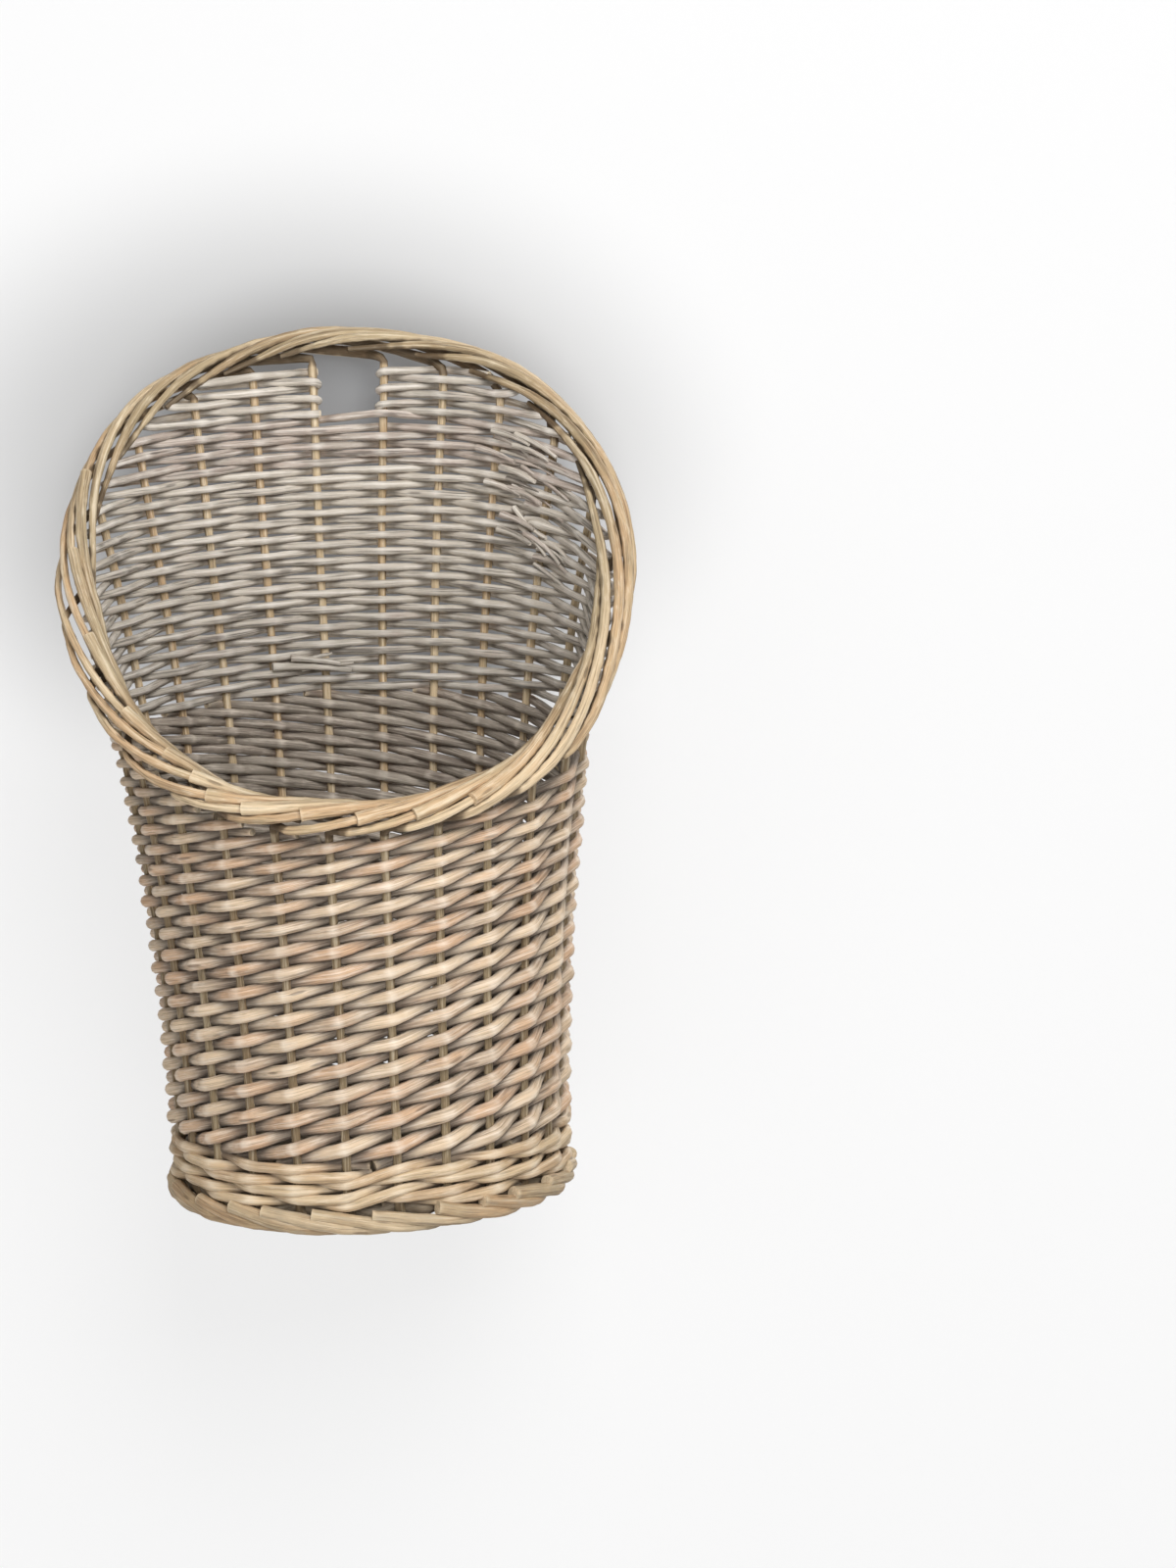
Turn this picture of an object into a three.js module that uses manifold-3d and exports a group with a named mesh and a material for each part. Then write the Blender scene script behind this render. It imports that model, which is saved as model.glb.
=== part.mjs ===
// Hanging wall basket of peeled willow: a round flared basket whose mouth slants from a high back to a
// low front. Millimetres, +Z up, origin under the middle of the foot, front at -Y, wall side at +Y.
// Angles run counter-clockwise seen from above, and every rod climbs as its angle grows.
import * as THREE from 'three';
import { mergeVertices } from 'three/addons/utils/BufferGeometryUtils.js';
import Module from 'manifold-3d';

// Driving dimensions of the wall
const CROSS_STICKS = 3; // sticks that lie each way in the base cross, with two stakes at each end
const BASE_RADIUS = 121.2; // circle of the stakes at the foot
const FLARE = 39.8; // widening of that circle at FLARE_HEIGHT, which grows with the height squared
const FLARE_HEIGHT = 376;
const BACK_HELD = 0.85; // share of the flare that is kept off the back, so that it hangs flat
const FAN_HELD = 0.62; // share of their fanning out that the front and back stakes leave to the sides
const LEAN = 2; // degrees by which the weave has drawn the stakes round at the top of the back
const HOLE_SPREAD = 4; // by which each stake beside the hanging hole is pushed away from it
const HOLE_NEARNESS = 20; // the higher, the fewer stakes on either side share in that push
const WALL_STEP = 105; // height of one straight run of a stake
const GAP = 0.45; // clearance between rods that touch on the real basket

// Rods
const STAKE_DIA = 5.6;
const BORDER_DIA = 6.5;
const FOOT_DIA = 7.6;
const WEAVER_BUTT = 8; // height of a siding weaver at its thick end
const WEAVER_TIP = 5.2;
const WEAVER_FLAT = 0.84; // depth of a siding weaver as a share of its height
const WALE_HEIGHT = 7.5;
const WALE_DEPTH = 7;
const PANEL_HEIGHT = 5.1;
const PANEL_DEPTH = 5;
const ROD_SIDES = 5;
const WEAVER_SIDES = 4;

// Border, given by the height of its middle above the floor
const BORDER_FRONT = 268;
const BORDER_SIDE = 376;
const BORDER_BACK = 527;
const BORDER_BOW = 17;
const BORDER_OUTSET = 3.5; // the border's middle lies this far outside the stakes
const BORDER_ROLL = 11; // radius on which the rods roll over the wall
const BORDER_RUN = 5.5; // stake spaces that each rod runs, and so rods abreast
const ROLL_START = -40; // degrees, on the outer side
const ROLL_END = 185; // degrees, on the inner side
const BEND_DEPTH = 5; // the bend from stake to border lies this far below the border's middle
const BEND_INSET = 2.5; // and this far inside it

// Weave
const WALE_RODS = 3;
const WALE_ROWS = 3;
const WALE_START = 22.6;
const WALE_SLACK = 0.4;
const RAND_SLACK = 0.6;
const RAND_CROSSINGS = 35; // stakes that the longest siding weaver passes
const PANEL_SLACK = 0.25;
const PANEL_WEAVERS = 4;
const HOLE_HEIGHT = 36; // hanging hole, from the border's underside down to the weaver below it
const TAIL = 0.15; // stake spaces that a rod's end reaches past its last stake
const BUTT_TAIL = 0.3;
const LAST_REACH = 0.7; // most of a stake space that a weaver reaches past its last stake

// Base
const BASE_STICK_DIA = 5;
const BASE_WEAVER_THICK = 4.3;
const BASE_WEAVER_WIDTH = 6.6;
const BASE_ROUNDS = 5.5;
const BASE_SLACK = 0.4;
const CROSS_SPACING = 6;

// Foot border, made by the butts of the stakes. Most of these are shares of a butt's thickness and gap.
const FOOT_RUN = 2; // stake spaces that each butt runs
const FOOT_FLAT = 0.3; // depth in millimetres worn flat where the butts stand on the floor
const FOOT_TUCK = 0.4; // how far inside the stakes the butts turn under
const FOOT_PASS = 1.13; // how far out they come to pass each other
const FOOT_CLIMB = 0.3; // how far a butt has risen halfway along
const FOOT_END = 1.42; // how far its cut end has risen
const FOOT_SPLAY = 0.8; // millimetres by which its cut end stands off the others
const FOOT_KNEE = 0.85; // how high it has turned up into the stake

// Derived sizes
const SPOKES = 4 * Math.round(CROSS_STICKS);
const STAKES = 2 * SPOKES;
const SPACE = (2 * Math.PI) / STAKES;
const FIRST_STAKE = -Math.PI / 2 + SPACE / 2;
const PANEL_PITCH = PANEL_HEIGHT + PANEL_SLACK;
const WALE_PITCH = WALE_HEIGHT + WALE_SLACK;
const WALE_TOP = WALE_START + WALE_PITCH * (WALE_ROWS - 1) + WALE_HEIGHT / 2;
const RAND_START = WALE_TOP + RAND_SLACK + WEAVER_BUTT / 2 + (WEAVER_BUTT + RAND_SLACK) * BUTT_TAIL;
const RAND_TOP = sidingHeight(RAND_CROSSINGS);
const PANEL_START = RAND_TOP + WEAVER_TIP + PANEL_SLACK + PANEL_HEIGHT / 2;
const BACK_LEFT = STAKES / 2; // the stakes either side of the hanging hole
const BACK_RIGHT = BACK_LEFT - 1;
const HOLE_BOTTOM = BORDER_BACK - BEND_DEPTH - BORDER_DIA / 2 - HOLE_HEIGHT;
const SPOKE_SPACE = (2 * Math.PI) / SPOKES;
const BASE_TURN = SPACE / 2; // brings each spoke to a stake
const FOOT_INSET = (FOOT_DIA + GAP) * FOOT_TUCK;
const BASE_EDGE = BASE_RADIUS - FOOT_INSET - FOOT_DIA / 2; // room for the base inside the foot
const BASE_MIDDLE = WALE_START - WALE_HEIGHT / 2 - BASE_WEAVER_THICK - BASE_STICK_DIA / 2 - 3 * GAP;
const UP = new THREE.Vector3(0, 0, 1);

const wasm = await Module();
wasm.setup();

// Colours taken from weathered willow
const FINISH = {
  stake: { color: 0xc4ab7f, roughness: 0.62 },
  weaver: { color: 0xb99b78, roughness: 0.68 },
  wale: { color: 0xc0a07a, roughness: 0.66 },
  panel: { color: 0x9c9080, roughness: 0.76 },
  base: { color: 0xa89274, roughness: 0.72 },
};

// Shape of the wall

function flareAt(z) {
  return FLARE * (z / FLARE_HEIGHT) ** 2;
}

// How strongly a stake is pushed away from the middle of the back, where the hanging hole is
function holePush(angle) {
  return -Math.cos(angle) * Math.exp(-HOLE_NEARNESS * (1 - Math.sin(angle)));
}

function stakeAngle(index, z) {
  const even = FIRST_STAKE + SPACE * index;
  const flare = flareAt(z);
  const held = (FAN_HELD * flare) / (BASE_RADIUS + flare);
  const push = (HOLE_SPREAD / (BASE_RADIUS + flare)) * (holePush(even) / holePush((Math.PI + SPACE) / 2));
  const lean = THREE.MathUtils.degToRad(LEAN);
  return even + (held / 2) * Math.sin(2 * even) + (push - lean) * (z / BORDER_BACK) ** 2;
}

function radial(angle) {
  return new THREE.Vector3(Math.cos(angle), Math.sin(angle), 0);
}

function along(angle) {
  return new THREE.Vector3(-Math.sin(angle), Math.cos(angle), 0);
}

// A stake's middle at one of the levels between which it runs straight
function levelPoint(index, level) {
  const z = level * WALL_STEP;
  const flare = flareAt(z);
  const point = radial(stakeAngle(index, z)).multiplyScalar(BASE_RADIUS + flare);
  point.y -= BACK_HELD * flare;
  point.z = z;
  return point;
}

// A point of the wall, outset from the stakes. Between two stakes it lies on the chord.
function wallPoint(index, z, outset = 0) {
  const low = Math.floor(index);
  const level = Math.floor(z / WALL_STEP);
  const at = (n) => {
    const point = levelPoint(n, level).lerp(levelPoint(n, level + 1), z / WALL_STEP - level);
    return point.addScaledVector(radial(stakeAngle(n, z)), outset);
  };
  return index === low ? at(low) : at(low).lerp(at(low + 1), index - low);
}

// Outset of a weaver's middle where it passes a stake and lies against it. side is 1 outside, -1 inside
function passing(index, z, depth, side) {
  const angle = stakeAngle(index, z);
  const lean = (flareAt(z + 1) - flareAt(z)) * (1 - BACK_HELD * Math.sin(angle));
  const spacing = wallPoint(index, z).distanceTo(wallPoint(index + 1, z));
  const swing = STAKE_DIA + depth + 2 * GAP;
  const crossing = swing / spacing + side * Math.tan((stakeAngle(index + 1, z) - angle) / 2);
  return side * (depth / 2 + (STAKE_DIA / 2 + GAP) * Math.hypot(1, lean) * Math.hypot(1, crossing));
}

// The border's height depends on a stake's angle there, which depends on the height
function borderHeight(index) {
  const linear = (BORDER_BACK - BORDER_FRONT) / 2;
  const square = (BORDER_BACK + BORDER_FRONT) / 2 - BORDER_SIDE;
  let z = BORDER_SIDE;
  for (let pass = 0; pass < 5; pass += 1) {
    const s = Math.sin(stakeAngle(index, z));
    z = BORDER_SIDE + linear * s + square * s * s + BORDER_BOW * (s - s ** 3);
  }
  return z;
}

function borderMiddle(index) {
  return wallPoint(index, borderHeight(index), BORDER_OUTSET);
}

// Axes of the border at a stake: out of the wall, up the wall, and along the border
function borderAxes(index) {
  const run = borderMiddle(index + 1).sub(borderMiddle(index - 1)).normalize();
  const out = radial(stakeAngle(index, borderHeight(index)));
  out.addScaledVector(run, -out.dot(run)).normalize();
  const up = out.clone().cross(run).normalize();
  return { out, up, run };
}

function borderPoint(index, out, up) {
  const low = Math.floor(index);
  const at = (n) => {
    const axes = borderAxes(n);
    return borderMiddle(n).addScaledVector(axes.out, out).addScaledVector(axes.up, up);
  };
  return low === index ? at(low) : at(low).lerp(at(low + 1), index - low);
}

// Highest place that a weaver may pass this stake below the border
function weaveTop(index, height) {
  const run = borderAxes(index).run;
  const slope = Math.abs(run.z) / Math.hypot(run.x, run.y);
  const reach = BEND_DEPTH + BORDER_DIA / 2 + GAP;
  const turn = STAKE_DIA / 2 + GAP + height / 2;
  return borderHeight(index) - reach * Math.hypot(1, slope) - height / 2 - turn * slope;
}

// Share of a stake space that a weaver can reach past a stake before it meets the border
function reachPast(fits) {
  const step = LAST_REACH / 16;
  let reach = 0;
  while (reach + step <= LAST_REACH && fits(reach + step)) {
    reach += step;
  }
  return reach;
}

// Solids swept through rings of points

function ring(centre, side, up, width, height, sides, turn) {
  const points = [];
  for (let i = 0; i < sides; i += 1) {
    const angle = turn + (2 * Math.PI * i) / sides;
    points.push(
      centre.clone()
        .addScaledVector(side, (Math.cos(angle) * width) / 2)
        .addScaledVector(up, (Math.sin(angle) * height) / 2),
    );
  }
  return points;
}

function sweep(rings) {
  const sides = rings[0].length;
  const points = rings.flat();
  const faces = [];
  for (let r = 0; r < rings.length - 1; r += 1) {
    for (let i = 0; i < sides; i += 1) {
      const a = r * sides + i;
      const b = r * sides + ((i + 1) % sides);
      faces.push(a, b, b + sides, a, b + sides, a + sides);
    }
  }
  const last = (rings.length - 1) * sides;
  for (let i = 1; i < sides - 1; i += 1) {
    faces.push(0, i + 1, i, last, last + i, last + i + 1);
  }
  const geometry = new THREE.BufferGeometry();
  geometry.setAttribute('position', new THREE.Float32BufferAttribute(points.flatMap((p) => p.toArray()), 3));
  geometry.setIndex(faces);
  geometry.computeVertexNormals();
  return geometry;
}

// A round rod through points that each carry a diameter and the turn of its section
function roundRod(stations) {
  return stations.map((station, i) => {
    const before = stations[Math.max(i - 1, 0)].point;
    const after = stations[Math.min(i + 1, stations.length - 1)].point;
    const run = station.run ? station.run.clone() : after.clone().sub(before);
    run.normalize();
    const side = station.side.clone().addScaledVector(run, -station.side.dot(run)).normalize();
    const up = run.clone().cross(side);
    return ring(station.point, side, up, station.diameter, station.diameter, ROD_SIDES, station.turn ?? 0);
  });
}

// A weaver of four flat sides, whose rings stand upright so that stacked rows keep their pitch
function weaverRing(point, run, depth, height) {
  const side = run.clone().cross(UP).normalize();
  const down = UP.clone().negate();
  const corner = Math.SQRT2;
  return ring(point, side, down, depth * corner, height * corner, WEAVER_SIDES, Math.PI / WEAVER_SIDES);
}

// Stakes: butt in the foot border, upright in the wall, tip rolled into the border

function footStations(index) {
  const stand = (FOOT_DIA / 2) * Math.cos(Math.PI / ROD_SIDES) - FOOT_FLAT;
  const clear = FOOT_DIA + GAP;
  const inset = -FOOT_INSET;
  const outset = inset + clear * FOOT_PASS;
  const route = [
    { t: FOOT_RUN, outset: outset + FOOT_SPLAY, z: stand + clear * FOOT_END },
    { t: FOOT_RUN / 2, outset, z: stand + clear * FOOT_CLIMB },
    { t: FOOT_RUN / 4, outset: inset + clear / 2, z: stand },
    { t: FOOT_RUN / 10, outset: inset, z: stand },
  ];
  const flatDown = Math.PI / 2 - (3 * Math.PI) / ROD_SIDES;
  const low = route.map((stop) => ({
    point: wallPoint(index - stop.t, stop.z, stop.outset),
    side: radial(stakeAngle(index - stop.t, stop.z)),
    diameter: FOOT_DIA,
    turn: flatDown,
  }));
  low.push({
    point: wallPoint(index, stand + clear * FOOT_KNEE, inset),
    side: radial(stakeAngle(index, stand)),
    diameter: (FOOT_DIA + STAKE_DIA) / 2,
  });
  return low;
}

function uprightStations(index) {
  const side = radial(stakeAngle(index, 0));
  const top = borderHeight(index) - BEND_DEPTH - BORDER_DIA;
  const heights = [WALE_START - WALE_HEIGHT / 2 - GAP];
  for (let z = WALL_STEP; z < top - STAKE_DIA; z += WALL_STEP) {
    heights.push(z);
  }
  heights.push(top);
  return heights.map((z) => ({ point: wallPoint(index, z), side, diameter: STAKE_DIA, run: UP }));
}

function borderStations(index) {
  const degree = Math.PI / 180;
  const bend = 0.06;
  const laid = 0.36;
  const places = [{ u: bend, out: -BEND_INSET, up: -BEND_DEPTH }];
  const lane = (u) => {
    const angle = (ROLL_START + ((ROLL_END - ROLL_START) * u) / BORDER_RUN) * degree;
    places.push({ u, out: BORDER_ROLL * Math.cos(angle), up: BORDER_ROLL * Math.sin(angle) });
  };
  lane(laid);
  for (let u = 1; u < BORDER_RUN; u += 1) {
    lane(u);
  }
  lane(BORDER_RUN);
  return places.map(({ u, out, up }) => ({
    point: borderPoint(index + u, out, up),
    side: borderAxes(Math.round(index + u)).out,
    diameter: u === bend ? STAKE_DIA : BORDER_DIA,
  }));
}

function stake(index) {
  const rings = roundRod([...footStations(index), ...uprightStations(index), ...borderStations(index)]);
  rings.flat().forEach((point) => {
    point.z = Math.max(point.z, 0);
  });
  return sweep(rings);
}

// Siding in French randing: one weaver starts at each stake, goes behind one and in front of one, and
// climbs one rod's height at each stake

function sidingThickness(step) {
  return WEAVER_BUTT + ((WEAVER_TIP - WEAVER_BUTT) * step) / RAND_CROSSINGS;
}

function sidingHeight(step) {
  const taper = (WEAVER_BUTT - WEAVER_TIP) / (2 * RAND_CROSSINGS);
  return RAND_START + (WEAVER_BUTT + RAND_SLACK) * step - taper * step * step;
}

function siding(index) {
  const fits = (step) => sidingHeight(step) <= weaveTop(index + step, sidingThickness(step));
  const station = (step, reach = 0) => {
    const depth = sidingThickness(step) * WEAVER_FLAT;
    const side = step % 2 === 0 ? -1 : 1;
    const outset = passing(index + step, sidingHeight(step), depth, side) * (1 - 2 * Math.abs(reach));
    return { at: step + reach, outset };
  };
  const path = [station(0, -BUTT_TAIL), station(0)];
  let last = 0;
  while (last < RAND_CROSSINGS && fits(last + 1)) {
    last += 1;
    path.push(station(last));
  }
  const onward = last < RAND_CROSSINGS ? reachPast((reach) => fits(last + reach)) : 0;
  path.push(station(last, Math.max(onward, TAIL)));
  return sweep(path.map(({ at, outset }) => {
    const z = sidingHeight(at);
    const height = sidingThickness(at);
    const heading = along(stakeAngle(index + at, z));
    return weaverRing(wallPoint(index + at, z, outset), heading, height * WEAVER_FLAT, height);
  }));
}

// Wale: three rods above the foot, each in front of two stakes and behind one. Each goes round once,
// and all three step up a row in the same places, so that the wale's top is level.

function wale(rod) {
  const perRow = Math.round(STAKES / WALE_RODS);
  const path = [];
  const pass = (step, reach = 0) => {
    const index = rod * perRow + step;
    const z = WALE_START + WALE_PITCH * Math.min(Math.floor(step / perRow), WALE_ROWS - 1);
    const side = step % WALE_RODS === 0 ? -1 : 1;
    path.push({ place: index + reach, z, outset: passing(index, z, WALE_DEPTH, side) * (1 - 2 * Math.abs(reach)) });
  };
  pass(0, -TAIL);
  for (let step = 0; step < STAKES; step += 1) {
    pass(step);
  }
  pass(STAKES - 1, TAIL);
  return sweep(path.map(({ place, z, outset }) => (
    weaverRing(wallPoint(place, z, outset), along(stakeAngle(place, z)), WALE_DEPTH, WALE_HEIGHT)
  )));
}

// Upper panel in plain randing: weavers that go to and fro over the high back and turn round its last
// stakes. The hanging hole parts its highest rows.

// The place where a row at this height meets the border, going outwards from the stake given
function rowEnd(z, from, way) {
  const fits = (place) => z <= weaveTop(place, PANEL_HEIGHT);
  let index = from;
  while (fits(index + way) && Math.abs(index + way - BACK_LEFT) < STAKES / 2) {
    index += way;
  }
  return index + way * reachPast((reach) => fits(index + way * reach));
}

function panelRows(lowest, highest, ends) {
  const rows = [];
  const shortest = 0.5;
  for (let z = lowest; z <= highest; z += PANEL_PITCH) {
    const row = ends(z);
    if (row.left - row.right < shortest) {
      break;
    }
    rows.push({ z, ...row });
  }
  return rows;
}

// The two corners of a turn at the end of a row, which goes round a stake or lies under the border
function turn(place, z, way, side) {
  const corner = Math.PI / 6;
  const reach = (STAKE_DIA / 2 + PANEL_DEPTH / 2 + GAP) / Math.cos(corner);
  const out = radial(stakeAngle(place, z)).multiplyScalar(side);
  const onward = along(stakeAngle(place, z)).multiplyScalar(way);
  return [1, -1].map((half) => {
    const point = wallPoint(place, z + PANEL_PITCH * (1 / 2 - half / 6));
    point.addScaledVector(out, half * reach * Math.sin(corner)).addScaledVector(onward, reach * Math.cos(corner));
    const heading = onward.clone().multiplyScalar(half * Math.sin(corner)).addScaledVector(out, -Math.cos(corner));
    return { point, heading };
  });
}

function panelWeaver(rows, parity) {
  const wayOf = (r) => (r % 2 === 0 ? 1 : -1);
  const turns = rows.map((row, r) => {
    const next = rows[r + 1] ?? row;
    return wayOf(r) > 0 ? Math.min(row.left, next.left) : Math.max(row.right, next.right);
  });
  const path = [];
  rows.forEach((row, r) => {
    const way = wayOf(r);
    const onto = (place, round) => (way > 0 ? round(place) : -round(-place));
    const start = r === 0 ? row.right : turns[r - 1];
    const first = onto(start, Math.ceil);
    const last = onto(turns[r], Math.floor);
    const pass = (index, reach = 0) => {
      const side = (index + r + parity) % 2 === 0 ? 1 : -1;
      const outset = passing(index, row.z, PANEL_DEPTH, side) * (1 - 2 * Math.abs(reach));
      const heading = along(stakeAngle(index, row.z)).multiplyScalar(way);
      path.push({ point: wallPoint(index + reach, row.z, outset), heading });
      return side;
    };
    if (r === 0) {
      pass(first, -way * Math.max(Math.abs(first - start), TAIL));
    }
    let side = 1;
    for (let index = first; way * (last - index) >= 0; index += way) {
      side = pass(index);
    }
    if (r < rows.length - 1) {
      path.push(...turn(turns[r], row.z, way, side));
    } else {
      pass(last, way * Math.max(Math.abs(turns[r] - last), TAIL));
    }
  });
  return sweep(path.map(({ point, heading }) => weaverRing(point, heading, PANEL_DEPTH, PANEL_HEIGHT)));
}

// Base: a cross of six sticks, three through three, opened out into spokes, and two weavers that spiral
// outwards over and under them

function spokeStick(quarter, lane) {
  const fan = lane * SPOKE_SPACE;
  const reach = CROSS_SPACING / Math.tan(SPOKE_SPACE);
  const end = BASE_EDGE - GAP;
  const half = [
    new THREE.Vector3(reach, lane * CROSS_SPACING, BASE_MIDDLE),
    new THREE.Vector3(end * Math.cos(fan), end * Math.sin(fan), BASE_MIDDLE),
  ];
  const mirrored = half.map((point) => new THREE.Vector3(-point.x, point.y, point.z)).reverse();
  const stations = [...mirrored, ...half].map((point) => ({
    point: point.applyAxisAngle(UP, (quarter * Math.PI) / 2 + BASE_TURN),
    side: UP,
    diameter: BASE_STICK_DIA,
  }));
  return sweep(roundRod(stations));
}

function solidOf(geometry) {
  const bare = geometry.clone();
  bare.deleteAttribute('normal');
  const merged = mergeVertices(bare);
  return new wasm.Manifold(new wasm.Mesh({
    numProp: 3,
    vertProperties: merged.attributes.position.array,
    triVerts: new Uint32Array(merged.index.array),
  }));
}

function geometryOf(solid) {
  const { vertProperties, triVerts } = solid.getMesh();
  const geometry = new THREE.BufferGeometry();
  geometry.setAttribute('position', new THREE.BufferAttribute(vertProperties, 3));
  geometry.setIndex(new THREE.BufferAttribute(triVerts, 1));
  geometry.computeVertexNormals();
  return geometry;
}

function baseCross() {
  const sticks = [0, 1].flatMap((quarter) => [-1, 0, 1].map((lane) => solidOf(spokeStick(quarter, lane))));
  return geometryOf(sticks.reduce((whole, stick) => whole.add(stick)));
}

function baseWeaver(which) {
  const pitch = BASE_WEAVER_WIDTH + BASE_SLACK;
  const last = BASE_EDGE - GAP - BASE_WEAVER_WIDTH / 2;
  const steps = SPOKES * BASE_ROUNDS;
  const rings = [];
  for (let step = 0; step <= steps; step += 1) {
    const angle = SPOKE_SPACE * step + BASE_TURN;
    const radius = last - pitch * (1 - which + (2 * (steps - step)) / SPOKES);
    const side = (step + which) % 2 === 0 ? 1 : -1;
    const swing = BASE_STICK_DIA + BASE_WEAVER_THICK + 2 * GAP;
    const crossing = Math.hypot(1, swing / (SPOKE_SPACE * radius));
    const lift = side * (BASE_WEAVER_THICK / 2 + (BASE_STICK_DIA / 2 + GAP) * crossing);
    const point = radial(angle).multiplyScalar(radius).setZ(BASE_MIDDLE + lift);
    rings.push(weaverRing(point, along(angle), BASE_WEAVER_WIDTH, BASE_WEAVER_THICK));
  }
  return sweep(rings);
}

const basket = new THREE.Group();
basket.name = 'hanging_wall_basket';

function addPart(name, geometry, finish) {
  const material = new THREE.MeshStandardMaterial({ ...FINISH[finish], metalness: 0 });
  const mesh = new THREE.Mesh(geometry, material);
  mesh.name = name;
  basket.add(mesh);
}

const label = (n) => String(n + 1).padStart(2, '0');
for (let i = 0; i < STAKES; i += 1) {
  addPart(`stake_${label(i)}`, stake(i), 'stake');
}
for (let i = 0; i < STAKES; i += 1) {
  addPart(`siding_weaver_${label(i)}`, siding(i), 'weaver');
}
for (let i = 0; i < WALE_RODS; i += 1) {
  addPart(`wale_rod_${i + 1}`, wale(i), 'wale');
}

const fullRows = panelRows(PANEL_START, HOLE_BOTTOM, (z) => ({
  right: rowEnd(z, BACK_RIGHT, -1),
  left: rowEnd(z, BACK_LEFT, 1),
}));
const rowsEach = Math.ceil(fullRows.length / PANEL_WEAVERS);
for (let i = 0; i < PANEL_WEAVERS; i += 1) {
  const rows = fullRows.slice(i * rowsEach, (i + 1) * rowsEach);
  addPart(`panel_weaver_${i + 1}`, panelWeaver(rows, i * rowsEach), 'panel');
}

const besideHole = PANEL_START + PANEL_PITCH * fullRows.length;
const holeTop = weaveTop(BACK_LEFT, PANEL_HEIGHT);
const leftRows = panelRows(besideHole, holeTop, (z) => ({ right: BACK_LEFT, left: rowEnd(z, BACK_LEFT, 1) }));
const rightRows = panelRows(besideHole, holeTop, (z) => ({ right: rowEnd(z, BACK_RIGHT, -1), left: BACK_RIGHT }));
addPart('panel_weaver_left_of_hole', panelWeaver(leftRows, fullRows.length), 'panel');
addPart('panel_weaver_right_of_hole', panelWeaver(rightRows, fullRows.length), 'panel');

addPart('base_cross', baseCross(), 'base');
addPart('base_weaver_1', baseWeaver(0), 'base');
addPart('base_weaver_2', baseWeaver(1), 'base');

// The origin is under the middle of the whole basket
const middle = new THREE.Box3().setFromObject(basket).getCenter(new THREE.Vector3());
basket.position.set(-middle.x, -middle.y, 0);

export default basket;
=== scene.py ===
import bpy
import math
import random
import numpy as np
from mathutils import Matrix, Vector


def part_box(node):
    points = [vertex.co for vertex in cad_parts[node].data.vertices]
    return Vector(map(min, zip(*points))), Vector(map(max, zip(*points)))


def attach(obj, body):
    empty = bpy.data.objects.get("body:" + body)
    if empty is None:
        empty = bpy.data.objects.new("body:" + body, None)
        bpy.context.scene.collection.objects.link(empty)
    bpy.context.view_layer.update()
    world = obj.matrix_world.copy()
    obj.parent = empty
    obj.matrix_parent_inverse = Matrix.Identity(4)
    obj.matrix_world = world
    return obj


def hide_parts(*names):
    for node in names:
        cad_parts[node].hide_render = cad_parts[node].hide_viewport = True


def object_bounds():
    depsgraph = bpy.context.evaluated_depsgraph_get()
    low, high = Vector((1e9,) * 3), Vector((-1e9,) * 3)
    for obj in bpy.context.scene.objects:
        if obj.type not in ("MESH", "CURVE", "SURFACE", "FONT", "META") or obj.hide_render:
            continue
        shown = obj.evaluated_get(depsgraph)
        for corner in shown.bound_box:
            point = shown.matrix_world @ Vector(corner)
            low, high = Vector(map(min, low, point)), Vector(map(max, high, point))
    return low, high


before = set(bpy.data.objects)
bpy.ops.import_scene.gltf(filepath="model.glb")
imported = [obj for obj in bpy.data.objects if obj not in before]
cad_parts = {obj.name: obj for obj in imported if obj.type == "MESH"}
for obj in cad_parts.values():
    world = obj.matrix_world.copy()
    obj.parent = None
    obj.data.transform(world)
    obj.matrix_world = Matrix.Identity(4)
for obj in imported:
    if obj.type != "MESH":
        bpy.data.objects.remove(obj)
cad_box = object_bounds()
bpy.ops.object.select_all(action="DESELECT")

# Wall of the basket, in millimetres
# The axis goes up through the middle of the base. A place round the wall is counted in stake spaces.
STAKES = 24
SPACE = 2 * math.pi / STAKES
FIRST_STAKE = -math.pi / 2 + SPACE / 2
BASE_RADIUS = 121.2  # circle of the stakes at the foot
FLARE = 39.8  # widening of that circle at FLARE_HEIGHT, which grows with the height squared
FLARE_HEIGHT = 376
BACK_HELD = 0.85  # share of the flare that is kept off the back, so that it hangs flat
FAN_HELD = 0.62  # share of their fanning out that the front and back stakes leave to the sides
LEAN = math.radians(2)  # by which the weave has drawn the stakes round at the top of the back
HOLE_SPREAD = 4  # by which each stake beside the hanging hole is pushed away from it
HOLE_NEARNESS = 20  # the higher, the fewer stakes on either side share in that push
BACK_LEFT = 12  # the stakes either side of the hanging hole
BACK_RIGHT = 11
GAP = 0.45  # clearance that the solids keep between rods
STAKE_WANDER = 1 / 150  # by which a stake strays from its line
STAKE_TAPER = 0.15

# Diameters of the rods
# The solids' clearances are closed up here, so most rods are thicker than their solids. In the wale a pair
# of thinner rods stands for each solid.
STAKE_DIA = 5.6
BORDER_DIA = 6.6
FOOT_DIA = 8.4
WEAVER_BUTT = 8
WEAVER_TIP = 5.2
WEAVER_SWELL = 0.9  # by which a siding weaver is thicker than its solid is high
WALE_DIA = 6.8
PANEL_DIA = 5.2
BASE_STICK_DIA = 5.6
BASE_WEAVER_DIA = 8.2
BASE_EDGE_DIA = 10
PRESSED = 1.1  # with its own radius, how far a weaver's middle lies from the middle of the stakes
LUMP_HEIGHT = 0.0011
LUMP_SIZE = 0.011

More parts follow.
